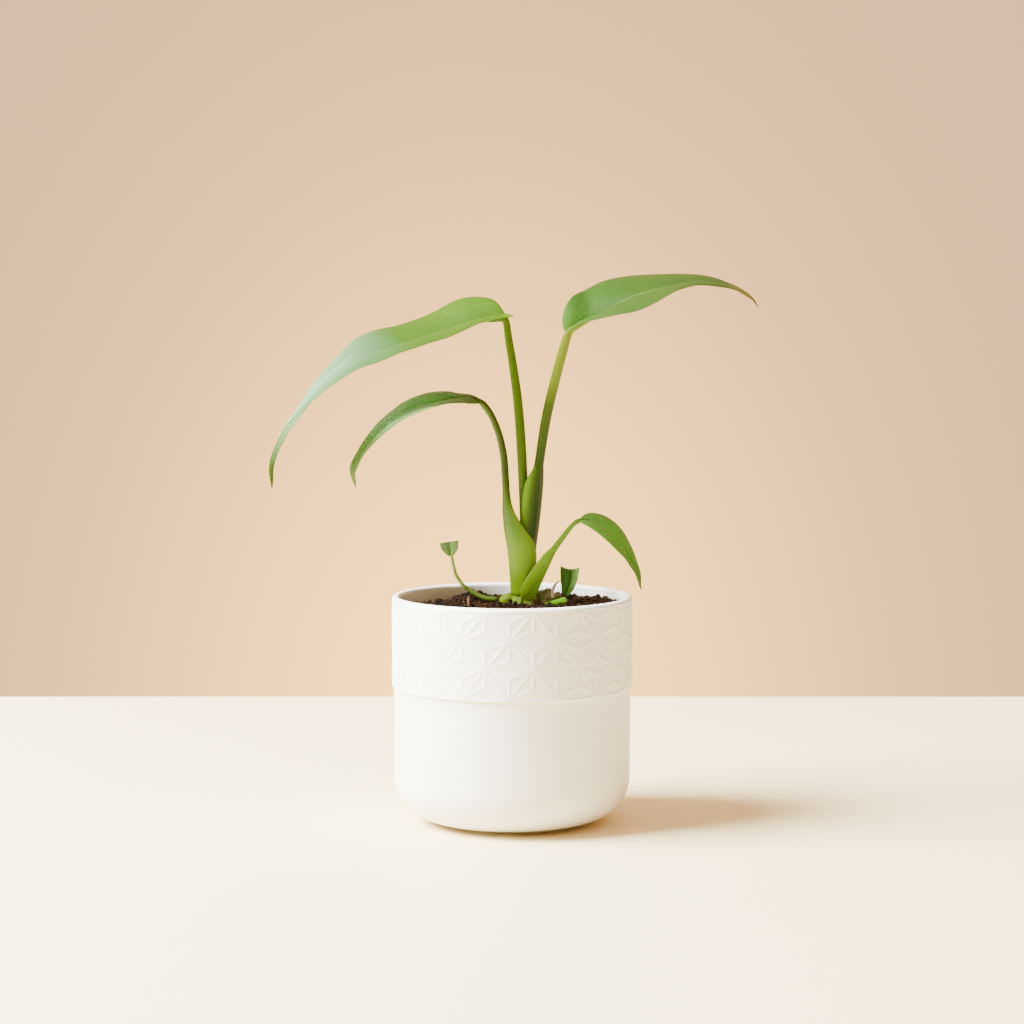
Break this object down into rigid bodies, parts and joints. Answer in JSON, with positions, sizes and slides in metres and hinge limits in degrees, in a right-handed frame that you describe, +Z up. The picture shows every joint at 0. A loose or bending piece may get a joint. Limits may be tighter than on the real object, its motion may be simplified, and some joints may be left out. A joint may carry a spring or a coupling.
{
  "type": "potted monstera plant",
  "caption": "Young monstera with undivided lance-shaped leaves on arching stalks, in a round white ceramic planter with a raised ribbed band and dark soil.",
  "frame": {"origin": "centre of the flat underside of the planter, on the surface that it stands on", "axes": "+Z up along the planter's axis, +X towards the right-hand leaf, +Y away from the front"},
  "size_m": [0.2609, 0.13, 0.2971],
  "materials": {
    "planter": "satin",
    "soil": "matte",
    "crown": "matte",
    "stalk": "satin",
    "leaf": "satin",
    "dry_scale": "matte"
  },
  "bodies": {
    "root": {"pot": "planter", "soil": "soil", "crown": "crown", "petiole_tall_left": "stalk", "petiole_tall_right": "stalk", "petiole_low_left": "stalk", "petiole_small_right": "stalk", "blade_tall_left": "leaf", "blade_tall_right": "leaf", "blade_low_left": "leaf", "blade_small_right": "leaf", "cut_blade_left": "leaf", "cut_blade_right": "leaf", "runner_left": "stalk", "runner_right": "stalk", "dry_husk": "dry_scale", "surface_root": "dry_scale"}
  },
  "joints": []
}
